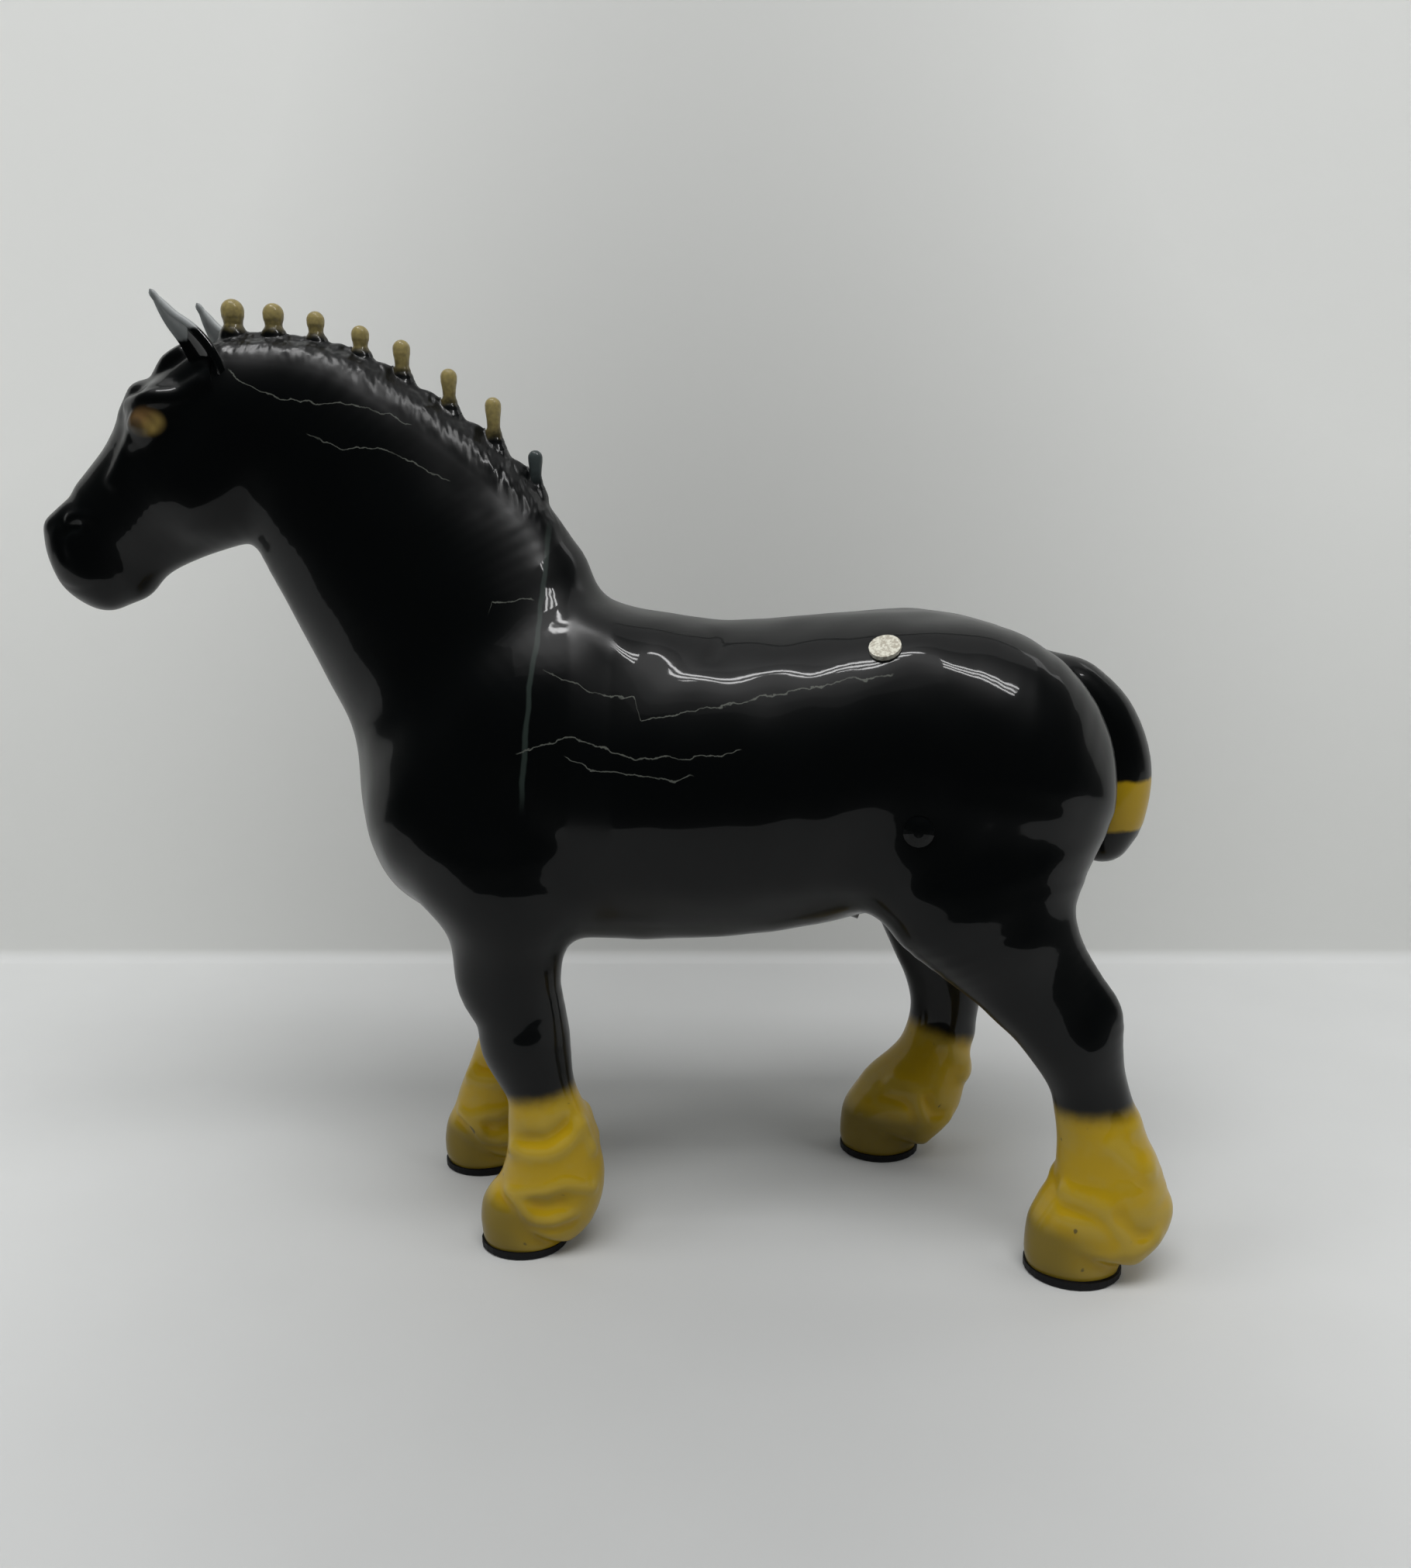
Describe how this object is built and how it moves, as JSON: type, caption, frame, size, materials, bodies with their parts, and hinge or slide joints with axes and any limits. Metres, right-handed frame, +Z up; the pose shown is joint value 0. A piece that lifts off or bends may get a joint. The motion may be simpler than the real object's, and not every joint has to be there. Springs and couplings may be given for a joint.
{
  "type": "ceramic draught horse figurine",
  "caption": "Free-standing glazed ceramic draught horse with feathered legs, plaited mane with bobbles and a short docked tail, resting flat on its hooves.",
  "frame": {"origin": "on the floor plane of the soles, under the middle of the figurine's bounding box", "axes": "+X from the head towards the tail, +Y towards the off side, +Z up"},
  "size_m": [0.2546, 0.0859, 0.2171],
  "materials": {
    "black_glaze": "deep black glaze with a mirror gloss and a faint blue cast",
    "ear_glaze": "satin blue-grey glaze, darker at the root",
    "ochre_glaze": "ochre-yellow gloss glaze on hooves and feather, sprayed into black above",
    "bobble_glaze": "olive-gold gloss glaze, fading to black at the foot",
    "sole_black": "dull black",
    "bare_clay": "unglazed matt off-white clay"
  },
  "bodies": {
    "root": {"trunk": "black_glaze", "neck": "black_glaze", "head": "black_glaze", "near_ear": "ear_glaze", "off_ear": "ear_glaze", "near_fore_leg": "ochre_glaze", "off_fore_leg": "ochre_glaze", "near_hind_leg": "ochre_glaze", "off_hind_leg": "ochre_glaze", "near_fore_sole": "sole_black", "off_fore_sole": "sole_black", "near_hind_sole": "sole_black", "off_hind_sole": "sole_black", "tail": "black_glaze", "mane_plait": "black_glaze", "mane_bobble_1": "bobble_glaze", "mane_bobble_2": "bobble_glaze", "mane_bobble_3": "bobble_glaze", "mane_bobble_4": "bobble_glaze", "mane_bobble_5": "bobble_glaze", "mane_bobble_6": "bobble_glaze", "mane_bobble_7": "bobble_glaze", "mane_bobble_8": "bobble_glaze", "back_plug": "bare_clay", "flank_stud": "black_glaze"}
  },
  "joints": []
}
